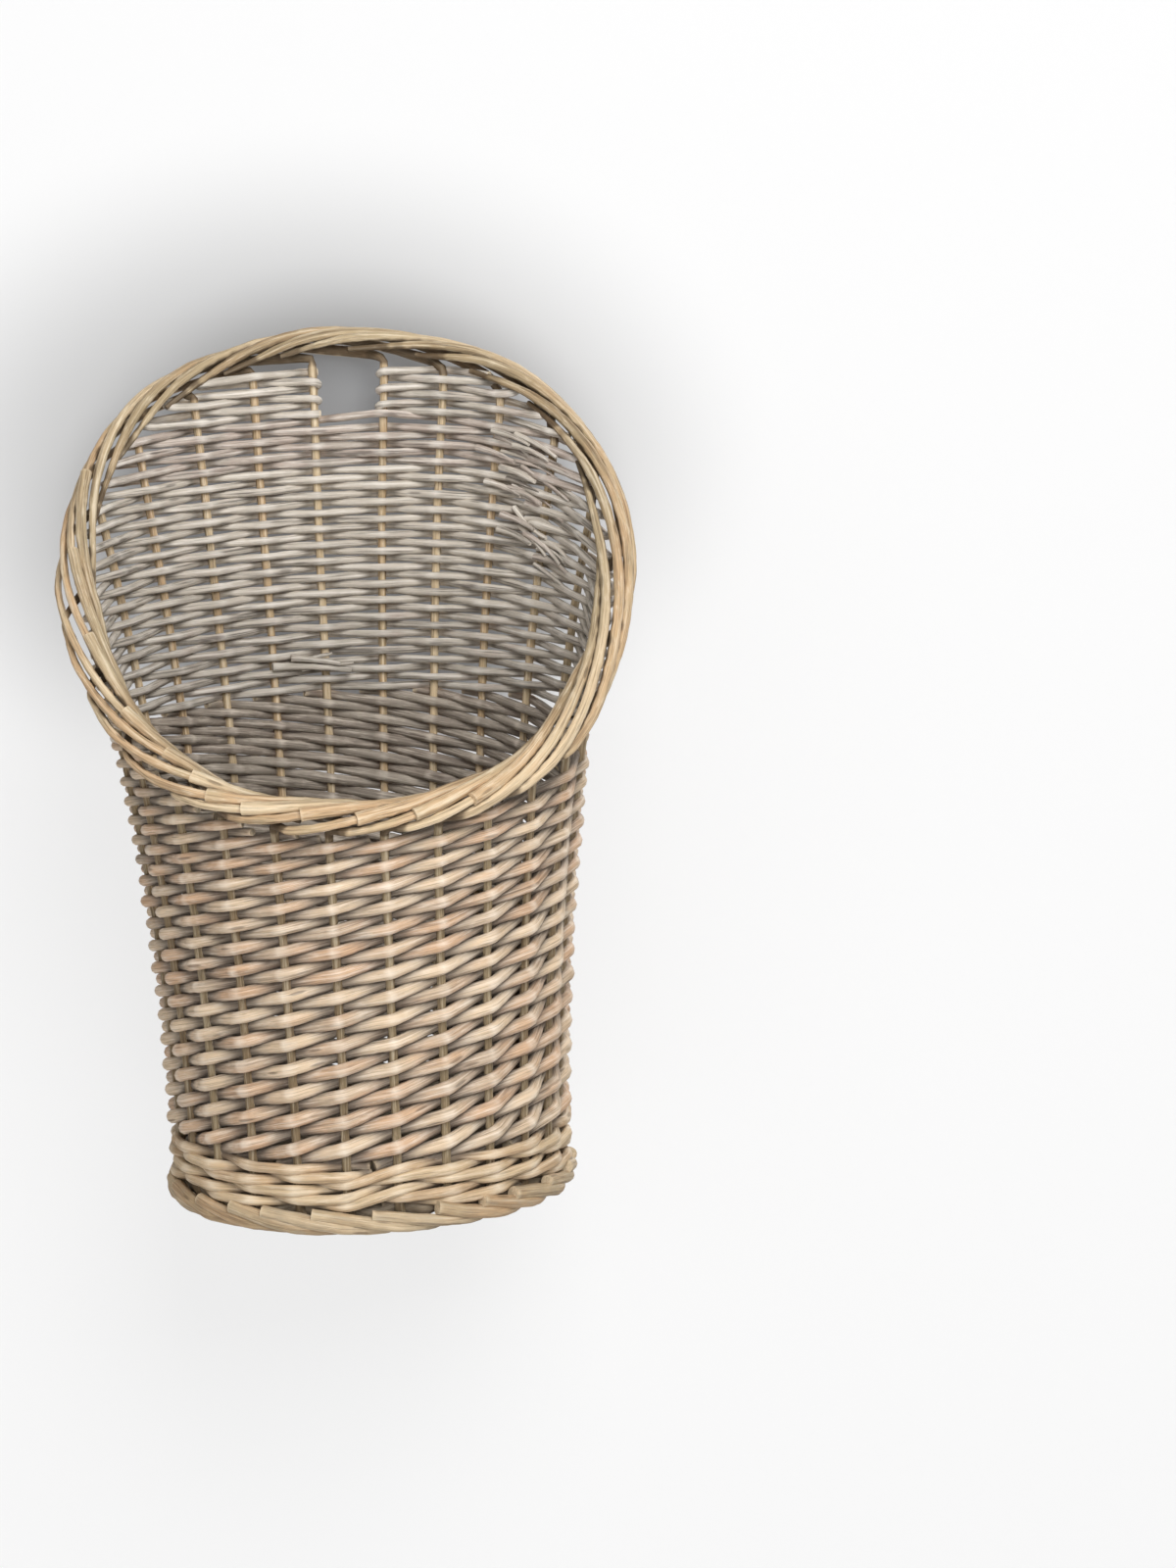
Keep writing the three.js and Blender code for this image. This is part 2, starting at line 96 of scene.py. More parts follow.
# Foot border, which the butts of the stakes make
FOOT_INSET = -3.22  # where the butts turn under the wall
FOOT_CLEAR = 8.05  # from the middle of one butt to the next
FOOT_PASS = 1.13  # share of that by which they come out to pass each other
FOOT_STAND = 4.3  # height of a butt's middle where it lies on the floor
FOOT_RUN = 2.5
FOOT_END = 14.2  # height of its cut end
FOOT_SPLAY = 0.9  # by which the cut end stands off
FOOT_KNEE = 10.5  # height at which it turns up into the stake
FOOT_KNEE_DIA = 7
FOOT_TOP = 19  # height from which the stake stands straight
# How deep the butts lie between rods, which sets dirt and painted shade on them
FOOT_HIDDEN = 0.6

# Rim border
BORDER_FRONT = 268
BORDER_SIDE = 376
BORDER_BACK = 527
BORDER_BOW = 17
BORDER_OUTSET = 3.5  # the border's middle lies this far outside the stakes
BORDER_ROLL = 11  # radius on which the rods roll over the wall
BORDER_RUN = 5.5  # stake spaces that each rod runs
BORDER_HEIGHT = 6.5  # thickness of a rod's solid in the border
ROLL_START = -40  # degrees, on the outer side
ROLL_END = 185  # degrees, on the inner side
ROLL_SWING = 6
LAY_START = 0.36  # stake spaces from a stake to where its rod lies in the border
BEND_DEPTH = 5
BEND_INSET = 2.5
BEND_PLACE = 0.06
BEND_BELOW = 12  # the stake stands straight up to this far below the border's middle
LOOSE_PLACE = 17  # where on the left the border's outer rods have sprung away
LOOSE_REACH = 3.2
LOOSE_TURN = 16
LOOSE_OUT = 5.0
START_DEPTH = 4.5  # by which a stake's own rod starts under the others
TUCK_DEPTH = 5.5  # by which a rod's tip ends under the others
DIVE_DEPTH = 4  # by which the rod under a laid-on one ends
BUTT_PROUD = 1.5  # by which the end of a laid-on rod stands out
BUTT_SWELL = 0.24
TIP_TAPER = 0.45
SAG = 0.5
LAID_STAKES = (13, 17, 20, 24)  # from the back round the left to the front, rods laid on show their ends
LAID_PLACES = (2.9, 2.9, 1.6, 1.4)  # stake spaces past the stake
LAID_OVERLAP = 0.35
LAID_THICK = 1.05
LAID_UNDER = 0.82
LAID_FRESH = 0.45

# Weave
WALE_RODS = 3
WALE_START = 22.6  # middle of the lowest row of its solids
WALE_TOP = 42.15
WALE_LIFT = 28  # height of the six rows that the pairs make
WALE_DROP = 3.6
WALE_BEATS = (  # outset and lift where a rod passes behind a stake, and then in front of two
    (-WALE_DIA / 2 - PRESSED, 0.9),
    (WALE_DIA / 2 + 0.9, -1.0),
    (WALE_DIA / 2 + 2.7, 0.2),
)
RAND_SLACK = 0.6
BUTT_TAIL = 0.3
RAND_CROSSINGS = 35  # stakes that the longest siding weaver passes
RAND_START = WALE_TOP + RAND_SLACK + WEAVER_BUTT / 2 + (WEAVER_BUTT + RAND_SLACK) * BUTT_TAIL
RAND_TAPER = (WEAVER_BUTT - WEAVER_TIP) / (2 * RAND_CROSSINGS)
RAND_DIP = 0.3
RAND_PACKED = 2.8  # by which the first crossings are beaten down on the wale
HEAD_BACK = 0.45
HEAD_DROP = 2.5
TAIL_LEAST = 0.3
TAIL_MORE = 0.12
LAST_REACH = 0.7  # most of a stake space that a weaver reaches past its last stake
REACH_TRIES = 16
CORNER = 0.48  # most of the way to the next point that a rounded corner takes

# Panel over the high back
PANEL_WEAVERS = 4  # that run across the full back
PANEL_HEIGHT = 5.1
PANEL_SLACK = 0.25
PANEL_PITCH = PANEL_HEIGHT + PANEL_SLACK
PANEL_PRESSED = 0.1
PANEL_PACKED = 3  # by which its lowest rows are beaten down
PACKED_ROWS = 8
END_LEFT = 14  # millimetres by which a row may run on into the border at its left end
END_RIGHT = 17
END_REACH = 0.95
PAST_CLOSE = 0.08  # stake spaces that an end reaches past a stake beside the hole, and past any other
PAST_FREE = 0.3
TURN_CLOSE = 3.4  # millimetres past its end that a row turns beside the hole, and elsewhere
TURN_WIDE = 6.5
TURN_DEPTH = 3
HOLE_HEIGHT = 36
HOLE_BOTTOM = BORDER_BACK - BEND_DEPTH - BORDER_HEIGHT / 2 - HOLE_HEIGHT
HOLE_RAISED = 4.5  # by which the weaver below the hole rides up at the hole's right-hand stake
TORN_LOW = 395
TORN_HIGH = 482
TORN_PLACE = 7.9
TORN_SLANT = 0.0105
FOLD_SHARE = 0.45
SPLINTER_TAPER = 0.45
BROKEN_ENDS = (  # place, height and outset at each end, thickness and curl
    ((13.1, 323, -8), (11.55, 318, -12), 5.8, 1),
    ((12.7, 328, -8), (11.75, 323, -13), 5.4, 0.5),
    ((12.3, 327, -9), (11.9, 330, -13), 3.4, 0),
    ((12.5, 320, -9), (11.5, 323, -12), 3.0, 0),
)

# Base
SPOKES = 12
SPOKE_SPACE = 2 * math.pi / SPOKES
BASE_TURN = SPACE / 2
BASE_EDGE = 114.18
BASE_MIDDLE = 10.7
BASE_ROUNDS = 6.9
BASE_PITCH = 7.0
BASE_SWING = 5.2  # by which a weaver passes over and under the middle of the sticks
BASE_INSET = 3.3
CROSS_SPACING = 6
EDGE_OVER = (115.0, 17.0)  # radius and height of the edge's round at a stake
EDGE_BETWEEN = (117.0, 12.0)

# Colour over the rods, in millimetres
CUT_REACH = 1.5
HIDDEN_DEPTH = 3.5  # dirt and painted shade on a weaver, by its distance from the middle of the stakes
CREVICE_DEPTH = 10.1  # dirt and painted shade in the border, by its distance from the border's middle
CREVICE_WIDTH = 3.4
BORDER_REACH = 18
WARM_DEPTH = 5
BORDER_WARM_DEPTH = 16
INSIDE_SHADE_SPAN = (0.12, 0.5)  # metres of height between which the inside darkens towards the base, a painted shade
INSIDE_SHADE = 0.36

MM = 0.001
chance = random.Random(24)
cross_low, cross_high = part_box("base_cross")
AXIS = (Vector(cross_low) + Vector(cross_high)) / 2
AXIS.z = 0

# Camera, at the photograph's viewing angle, in metres and radians
CAMERA_PLACE = Vector((0, -3.343, 0.865))
CAMERA_TURNED = 0.0441
CAMERA_TIPPED = 0.1799
CAMERA_ROLLED = -0.0346
CAMERA_LENS = 122.5


def add_camera():
    ahead = Vector((
        math.sin(CAMERA_TURNED) * math.cos(CAMERA_TIPPED),
        math.cos(CAMERA_TURNED) * math.cos(CAMERA_TIPPED),
        -math.sin(CAMERA_TIPPED),
    ))
    right = ahead.cross(Vector((0, 0, 1))).normalized()
    top = right.cross(ahead)
    across = math.cos(CAMERA_ROLLED) * right + math.sin(CAMERA_ROLLED) * top
    upward = -math.sin(CAMERA_ROLLED) * right + math.cos(CAMERA_ROLLED) * top
    camera = bpy.data.objects.new("camera", bpy.data.cameras.new("camera"))
    bpy.context.scene.collection.objects.link(camera)
    camera.matrix_world = Matrix.Translation(AXIS + CAMERA_PLACE) @ Matrix(
        (across, upward, -ahead)
    ).transposed().to_4x4()
    camera.data.lens = CAMERA_LENS
    camera.data.sensor_width = 36
    camera.data.clip_end = 30
    bpy.context.scene.camera = camera


add_camera()


# Shader nodes
class Value:
    """A number that varies over a surface."""

    def __init__(self, finish, socket):
        self.finish = finish
        self.socket = socket

    def _maths(self, operation, first, second):
        return Value(self.finish, self.finish.node(
            "ShaderNodeMath", {"operation": operation}, {0: first, 1: second}).outputs[0])

    def __add__(self, other):
        return self._maths("ADD", self, other)

    def __radd__(self, other):
        return self._maths("ADD", other, self)

    def __sub__(self, other):
        return self._maths("SUBTRACT", self, other)

    def __rsub__(self, other):
        return self._maths("SUBTRACT", other, self)

    def __mul__(self, other):
        return self._maths("MULTIPLY", self, other)

    def __rmul__(self, other):
        return self._maths("MULTIPLY", other, self)


class Finish:
    """A material and the nodes that it is made of."""

    def __init__(self, name):
        self.material = bpy.data.materials.new(name)
        self.material.use_nodes = True
        self.tree = self.material.node_tree
        self.shader = self.tree.nodes["Principled BSDF"]

    def feed(self, socket, value):
        if isinstance(value, Value):
            value = value.socket
        if isinstance(value, bpy.types.NodeSocket):
            self.tree.links.new(value, socket)
        else:
            socket.default_value = value

    def node(self, kind, settings=None, sockets=None):
        made = self.tree.nodes.new(kind)
        for key, value in (settings or {}).items():
            setattr(made, key, value)
        for key, value in (sockets or {}).items():
            self.feed(made.inputs[key], value)
        return made

    def attribute(self, name):
        return self.node("ShaderNodeAttribute", {"attribute_name": name}).outputs

    def stretched(self, vector, scale, shift=(0, 0, 0)):
        return self.node(
            "ShaderNodeMapping", {}, {"Vector": vector, "Scale": scale, "Location": shift}).outputs["Vector"]

    def noise(self, vector, scale, detail, roughness=0.5, shift=(0, 0, 0)):
        return Value(self, self.node("ShaderNodeTexNoise", {}, {
            "Vector": self.stretched(vector, scale, shift),
            "Scale": 1.0,
            "Detail": detail,
            "Roughness": roughness,
        }).outputs["Fac"])

    def between(self, value, low, high):
        made = self.node("ShaderNodeMapRange", {"interpolation_type": "SMOOTHSTEP"}, {
            "Value": value, "From Min": low, "From Max": high, "To Min": 0.0, "To Max": 1.0})
        return Value(self, made.outputs["Result"])

    def blend(self, share, first, second):
        return self.node(
            "ShaderNodeMix", {"data_type": "RGBA", "clamp_factor": True},
            {0: share, 6: first, 7: second}).outputs[2]

    def use(self, name, value):
        self.feed(self.shader.inputs[name], value)


def paint(red, green, blue):
    def linear(part):
        part /= 255
        return part / 12.92 if part <= 0.04045 else ((part + 0.055) / 1.055) ** 2.4
    return (linear(red), linear(green), linear(blue), 1)


FRESH_WOOD = paint(222, 202, 170)


# Willow that has weathered: it is warm outside and grey inside the basket, with long grain, pale bloom,
# scars of buds, pale bends that are a painted highlight with bruising, frayed cut ends, dirt and painted
# shade where rods lie against each other, and a painted shade that darkens the inside towards the base
def willow(name, outside, inside, pale, dark, bloom=0.5, grime_and_shade=0.35, streaks=0.35):
    finish = Finish(name)
    rod = finish.attribute("rod")["Vector"]
    tone, kink, outer, seam, cut = (
        Value(finish, finish.attribute(title)["Fac"]) for title in ("tone", "kink", "outer", "seam", "cut"))

    slow = finish.noise(rod, (18, 40, 40), 3)
    tint = finish.noise(rod, (26, 60, 60), 2, shift=(7, 3, 1))
    mottle = finish.noise(rod, (75, 330, 330), 4, 0.6)
    grain = finish.noise(rod, (40, 1300, 1300), 4, 0.65)
    strand = finish.noise(rod, (14, 520, 520), 3, 0.6)
    fibre = finish.noise(rod, (110, 3600, 3600), 2)

    first, second, third = (finish.blend(outer, *pair) for pair in zip(inside, outside))
    share = finish.between(slow * 0.7 + tone * 0.45 + mottle * 0.15, 0.42, 0.86)
    colour = finish.blend(share, first, second)
    colour = finish.blend(finish.between(tint * 0.8 + tone * 0.35, 0.5, 0.78) * 0.8, colour, third)
    colour = finish.blend(finish.between(mottle, 0.5, 0.72) * 0.4, colour, pale)
    colour = finish.blend(finish.between(strand, 0.52, 0.66) * streaks, colour, dark)
    colour = finish.blend(finish.between(strand, 0.47, 0.34) * streaks, colour, pale)
    colour = finish.blend(finish.between(grain, 0.52, 0.68) * 0.42, colour, dark)
    colour = finish.blend(finish.between(grain, 0.46, 0.32) * bloom, colour, pale)
    # Pale bends: a painted highlight, with bruised bark
    colour = finish.blend(kink * finish.between(mottle, 0.25, 0.6) * 0.6, colour, pale)

    scars = finish.node("ShaderNodeTexVoronoi", {"feature": "F1"}, {
        "Vector": finish.stretched(rod, (24, 120, 120)), "Scale": 1.0, "Randomness": 1.0}).outputs["Distance"]
    scar = 1 - finish.between(scars, 0.08, 0.17)
    colour = finish.blend(scar * 0.5, colour, dark)
    colour = finish.blend(cut * finish.between(grain, 0.3, 0.6), colour, FRESH_WOOD)

    place = finish.node("ShaderNodeTexCoord").outputs["Object"]
    height = Value(finish, finish.node("ShaderNodeSeparateXYZ", {}, {"Vector": place}).outputs["Z"])
    # Painted shade: the inside darkens towards the base
    inside_shade = (1 - outer) * (1 - finish.between(height, *INSIDE_SHADE_SPAN)) * INSIDE_SHADE
    colour = finish.blend(inside_shade, colour, dark)
    # Dirt and painted shade where rods lie against each other, by how deep they lie
    seam_grime_and_shade = finish.between(seam + mottle * 0.5 - 0.25, 0.35, 1.0)
    colour = finish.blend(seam_grime_and_shade * grime_and_shade, colour, dark)

    finish.use("Base Color", colour)
    finish.use("Roughness", 0.56 + grain * 0.3)
    relief = grain * 0.5 + fibre * 0.25 + mottle * 0.5 - strand * 0.7 - scar * 0.5
    bump = finish.node("ShaderNodeBump", {}, {"Strength": 0.55, "Distance": 0.0006, "Height": relief})
    finish.use("Normal", bump.outputs["Normal"])
    finish.shader.inputs["Specular IOR Level"].default_value = 0.3
    return finish.material


STAKE_WILLOW = willow(
    "stake_willow",
    outside=(paint(211, 188, 154), paint(186, 163, 128), paint(199, 165, 127)),
    inside=(paint(160, 142, 110), paint(138, 122, 94), paint(148, 128, 98)),
    pale=paint(236, 222, 195), dark=paint(72, 55, 38), bloom=0.4, grime_and_shade=0.8, streaks=0.45)
SIDING_WILLOW = willow(
    "siding_willow",
    outside=(paint(212, 188, 158), paint(180, 160, 138), paint(204, 166, 132)),
    inside=(paint(162, 152, 139), paint(134, 125, 114), paint(149, 137, 125)),
    pale=paint(234, 221, 204), dark=paint(62, 48, 37), bloom=0.55, grime_and_shade=0.42)
WALE_WILLOW = willow(
    "wale_willow",
    outside=(paint(208, 184, 148), paint(184, 160, 130), paint(196, 166, 130)),
    inside=(paint(158, 146, 130), paint(128, 118, 106), paint(148, 132, 116)),
    pale=paint(230, 215, 192), dark=paint(84, 66, 48))
PANEL_WILLOW = willow(
    "panel_willow",
    outside=(paint(204, 184, 158), paint(176, 158, 136), paint(196, 166, 140)),
    inside=(paint(195, 185, 171), paint(165, 157, 145), paint(185, 168, 156)),
    pale=paint(228, 221, 211), dark=paint(76, 70, 64), bloom=0.55, grime_and_shade=0.5, streaks=0.7)
BASE_WILLOW = willow(
    "base_willow",
    outside=(paint(180, 158, 128), paint(152, 136, 114), paint(166, 140, 110)),
    inside=(paint(162, 148, 128), paint(132, 122, 108), paint(150, 134, 112)),
    pale=paint(208, 194, 170), dark=paint(80, 66, 50))


# A straight rod lying along X, one metre long and one millimetre in radius, to be bent to each route. Each
# round of cuts divides every stretch that the round before left, and a round has 30 cuts at most.
def straight_rod(name, sides, rounds):
    bpy.ops.mesh.primitive_cylinder_add(
        vertices=sides, radius=MM, depth=1, end_fill_type="NGON",
        location=(0.5, 0, 0), rotation=(0, math.pi / 2, 0))
    rod = bpy.context.object
    rod.name = name
    bpy.ops.object.transform_apply(location=True, rotation=True, scale=True)
    bpy.ops.object.mode_set(mode="EDIT")
    bpy.ops.mesh.select_mode(type="EDGE")
    for cuts in rounds:
        bpy.ops.mesh.select_all(action="DESELECT")
        bpy.ops.object.mode_set(mode="OBJECT")
        for edge in rod.data.edges:
            first, second = (rod.data.vertices[v].co.x for v in edge.vertices)
            edge.select = abs(first - second) > MM / 10
        bpy.ops.object.mode_set(mode="EDIT")
        bpy.ops.mesh.subdivide(number_cuts=cuts)
    bpy.ops.mesh.select_all(action="SELECT")
    bpy.ops.mesh.normals_make_consistent(inside=False)
    bpy.ops.object.mode_set(mode="OBJECT")
    bpy.ops.object.shade_smooth_by_angle(angle=math.radians(50))
    rod.select_set(False)
    rod.hide_render = True
    return rod


def flare_at(z):
    return FLARE * (z / FLARE_HEIGHT) ** 2


def hole_push(angle):
    return -math.cos(angle) * math.exp(-HOLE_NEARNESS * (1 - math.sin(angle)))


def stake_angle(index, z):
    even = FIRST_STAKE + SPACE * index
    flare = flare_at(z)
    held = FAN_HELD * flare / (BASE_RADIUS + flare)
    push = HOLE_SPREAD / (BASE_RADIUS + flare) * hole_push(even) / hole_push((math.pi + SPACE) / 2)
    return even + held / 2 * math.sin(2 * even) + (push - LEAN) * (z / BORDER_BACK) ** 2


def wall_point(index, z, outset=0.0):
    flare = flare_at(z)
    angle = stake_angle(index, z)
    reach = BASE_RADIUS + flare + outset
    return np.array([reach * math.cos(angle), reach * math.sin(angle) - BACK_HELD * flare, z])


def reach_past(fits, most=LAST_REACH):
    """How far on a rod still fits, in stake spaces."""
    step = most / REACH_TRIES
    reach = 0
    while reach + step <= most and fits(reach + step):
        reach += step
    return reach


def fading(distance, reach):
    """1 at no distance, and 0 from the reach on."""
    return max(0, 1 - distance / reach)


# Routes
# Each row is a point in millimetres and the rod's radius there, and then, from 0 to 1, whether it lies
# outside, how sharply it is bent, which sets a painted highlight with bruising, and how deep it lies between
# other rods, which sets dirt and painted shade. Only the stakes and the base's sticks use the first and the
# last of these three: a woven rod gets them from where its surface lies.
RADIUS, OUTER, KINK, HIDDEN = range(3, 7)


def row(point, radius, outer=0.0, hidden=0.35):
    return np.array([*point, radius, outer, 0.0, hidden])


def rounded(rows, reach):
    """The rows with their corners rounded, each one from this far before it."""
    steps = 4
    made = [rows[0]]
    for before, corner, after in zip(rows, rows[1:], rows[2:]):
        back = np.linalg.norm(before[:3] - corner[:3])
        on = np.linalg.norm(after[:3] - corner[:3])
        start = corner + (before - corner) * min(reach / back, CORNER)
        end = corner + (after - corner) * min(reach / on, CORNER)
        for step in range(steps + 1):
            t = step / steps
            made.append((1 - t) ** 2 * start + 2 * t * (1 - t) * corner + t * t * end)
            made[-1][KINK] = 1 - abs(2 * t - 1)
    made.append(rows[-1])
    return made


def smooth_route(rows, steps=5):
    """Catmull-Rom curve through the rows."""
    made = []
    for i in range(len(rows) - 1):
        before, start = rows[max(i - 1, 0)], rows[i]
        end, after = rows[i + 1], rows[min(i + 2, len(rows) - 1)]
        for step in range(steps):
            t = step / steps
            made.append(0.5 * (
                2 * start + (end - before) * t + (2 * before - 5 * start + 4 * end - after) * t * t
                + (3 * start - before - 3 * end + after) * t ** 3))
    made.append(rows[-1])
    return made


def route_curve(name, places, radii, woven):
    curve = bpy.data.curves.new(name, "CURVE")
    curve.dimensions = "3D"
    curve.twist_mode = "Z_UP" if woven else "MINIMUM"
    curve.use_stretch = True
    curve.use_deform_bounds = True
    curve.use_radius = True
    spline = curve.splines.new("POLY")
    spline.points.add(len(places) - 1)
    spline.points.foreach_set("co", np.column_stack([places, np.ones(len(places))]).ravel())
    spline.points.foreach_set("radius", radii)
    route = bpy.data.objects.new(name, curve)
    bpy.context.scene.collection.objects.link(route)
    return route


def points_of(rod):
    points = np.zeros(len(rod.data.vertices) * 3)
    rod.data.vertices.foreach_get("co", points)
    return points.reshape(-1, 3)


def outer_share(outset, planned, woven):
    """How far each point has the warm colours of the outside."""
    if woven:
        return np.clip(outset / WARM_DEPTH + 0.2, 0, 1)
    in_border = np.clip(0.85 + (outset - BORDER_OUTSET) / BORDER_WARM_DEPTH, 0.35, 1)
    in_wall = np.clip(0.35 - outset / WARM_DEPTH, 0, 0.7)
    return np.where(planned > 0.8, in_border, in_wall)


def hidden_share(spots, outset, planned, woven):
    """How deep each point lies between rods, which sets dirt and painted shade there."""
    if woven:
        return np.clip(1 - np.abs(outset) / HIDDEN_DEPTH, 0, 1)
    away = np.linalg.norm(spots[:, None, :] - BORDER_CORE[None, :, :], axis=2).min(axis=1)
    crevice = np.clip(1 - (away - CREVICE_DEPTH) / CREVICE_WIDTH, 0, 1)
    return np.where(away < BORDER_REACH, crevice, planned)


def bend_rod(name, blank, rows, woven, fresh=1.0):
    """A copy of the straight rod, bent along the rows. The section of a woven rod stays upright."""
    rows = np.array(rows)
    places = rows[:, :3] * MM + np.array(AXIS)
    steps = np.linalg.norm(np.diff(places, axis=0), axis=1)
    travelled = np.concatenate([[0.0], np.cumsum(steps)])
    length = travelled[-1]
    route = route_curve(name + "_route", places, rows[:, RADIUS], woven)

    rod = blank.copy()
    rod.data = blank.data.copy()
    rod.name = name
    rod.hide_render = False
    bpy.context.scene.collection.objects.link(rod)
    bpy.context.view_layer.objects.active = rod
    straight = points_of(rod)

    bend = rod.modifiers.new("bend", "CURVE")
    bend.object = route
    bend.deform_axis = "POS_X"
    bpy.ops.object.modifier_apply(modifier="bend")
    lumps = rod.modifiers.new("lumps", "DISPLACE")
    lumps.texture = LUMPS
    lumps.texture_coords = "LOCAL"
    lumps.strength = LUMP_HEIGHT
    lumps.mid_level = 0.5
    bpy.ops.object.modifier_apply(modifier="lumps")
    bpy.data.objects.remove(route)

    along = straight[:, 0] * length

    def planned(column):
        return np.interp(along, travelled, rows[:, column])

    radius = planned(RADIUS)
    grown = rod.data.attributes.new("rod", "FLOAT_VECTOR", "POINT")
    grown.data.foreach_set("vector", np.column_stack([
        along + chance.uniform(0, 50), straight[:, 1] * radius, straight[:, 2] * radius]).ravel())
    spots = (points_of(rod) - np.array(AXIS)) / MM
    x, y, z = spots.T
    flare = flare_at(z)
    outset = np.hypot(x, y + BACK_HELD * flare) - BASE_RADIUS - flare
    from_end = np.minimum(along, length - along) / MM
    paints = {
        "tone": np.full(len(along), chance.random()),
        "outer": outer_share(outset, planned(OUTER), woven),
        "kink": planned(KINK),
        "seam": hidden_share(spots, outset, planned(HIDDEN), woven),
        "cut": fresh * np.clip(1.2 - from_end / CUT_REACH, 0, 1),
    }
    for title, values in paints.items():
        rod.data.attributes.new(title, "FLOAT", "POINT").data.foreach_set("value", values)
    return rod


def joined(rods, name):
    bpy.ops.object.select_all(action="DESELECT")
    for rod in rods:
        rod.select_set(True)
    bpy.context.view_layer.objects.active = rods[0]
    if len(rods) > 1:
        bpy.ops.object.join()
    rods[0].name = name
    rods[0].select_set(False)
    return rods[0]


def finish_piece(piece, node, material):
    piece.data.materials.clear()
    piece.data.materials.append(material)
    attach(piece, "root")
    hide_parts(node)


LUMPS = bpy.data.textures.new("lumps", "CLOUDS")
LUMPS.noise_scale = LUMP_SIZE
LUMPS.noise_depth = 2

ROD_STAKE = straight_rod("stake_blank", 12, (30, 6))
ROD_SIDING = straight_rod("siding_blank", 10, (30, 11))
ROD_LONG = straight_rod("long_blank", 10, (30, 29))
ROD_SHORT = straight_rod("short_blank", 8, (30,))


# Border
def border_height(index):
    """Height of the border's middle. It and the stake's angle there set each other, so it is found in turns."""
    linear = (BORDER_BACK - BORDER_FRONT) / 2
    square = (BORDER_BACK + BORDER_FRONT) / 2 - BORDER_SIDE
    z = BORDER_SIDE
    for _ in range(5):
        s = math.sin(stake_angle(index, z))
        z = BORDER_SIDE + linear * s + square * s * s + BORDER_BOW * (s - s ** 3)
    return z


def border_middle(index):
    return wall_point(index, border_height(index), BORDER_OUTSET)


BORDER_CORE = np.array([border_middle(place) for place in np.arange(0, STAKES, 0.25)])


def border_axes(index):
    run = border_middle(index + 1) - border_middle(index - 1)
    run /= np.linalg.norm(run)
    angle = stake_angle(index, border_height(index))
    out = np.array([math.cos(angle), math.sin(angle), 0.0])
    out -= run * out.dot(run)
    out /= np.linalg.norm(out)
    return out, np.cross(out, run), run


def border_point(index, out, up):
    axes = border_axes(index)
    return border_middle(index) + axes[0] * out + axes[1] * up


def weave_top(index, height):
    """How high the middle of a weaver of this height can lie under the border."""
    run = border_axes(index)[2]
    slope = abs(run[2]) / math.hypot(run[0], run[1])
    reach = BEND_DEPTH + BORDER_HEIGHT / 2 + GAP
    turn = STAKE_DIA / 2 + GAP + height / 2
    return border_height(index) - reach * math.hypot(1, slope) - height / 2 - turn * slope


def upright_route(index):
    """A stake, from the cut end of its butt in the foot border up to its bend under the rim border."""
    butt = chance.uniform(0.9, 1.1) * FOOT_DIA / 2
    rise = chance.uniform(-1.3, 1.0)
    longer = chance.uniform(-0.25, 0.2)
    passed = FOOT_INSET + FOOT_CLEAR * FOOT_PASS
    stops = (
        (FOOT_RUN + longer, passed + FOOT_SPLAY, FOOT_END + rise),
        (1.75, passed + 0.5, 9.8 + rise / 2),
        (1.1, FOOT_INSET + FOOT_CLEAR * 1.1, 5.9),
        (0.55, FOOT_INSET + FOOT_CLEAR * 0.55, FOOT_STAND),
        (0.2, FOOT_INSET, FOOT_STAND),
    )
    rows = [row(wall_point(index - back, z, outset), butt, 1, FOOT_HIDDEN) for back, outset, z in stops]
    rows.append(row(wall_point(index, FOOT_KNEE, FOOT_INSET + 0.4), FOOT_KNEE_DIA / 2, 1, FOOT_HIDDEN))
    rows.append(row(wall_point(index, FOOT_TOP, -0.3), STAKE_DIA / 2 + 0.2, 0.6, 0.7))
    top = border_height(index) - BEND_BELOW
    levels = 9
    for level in range(1, levels + 1):
        z = FOOT_TOP + (top - FOOT_TOP) * level / levels
        place = index + chance.uniform(-STAKE_WANDER, STAKE_WANDER)
        rows.append(row(wall_point(place, z, 0), STAKE_DIA / 2 - STAKE_TAPER * level / levels, 0.6, 0.35))
    bend = border_point(index + BEND_PLACE, -BEND_INSET, -BEND_DEPTH)
    rows.append(row(bend, STAKE_DIA / 2, 0.4, 0.7))
    return rows


def looseness(place):
    """How far the outer rods of the border have sprung away on the left."""
    return fading(abs(place - LOOSE_PLACE), LOOSE_REACH)


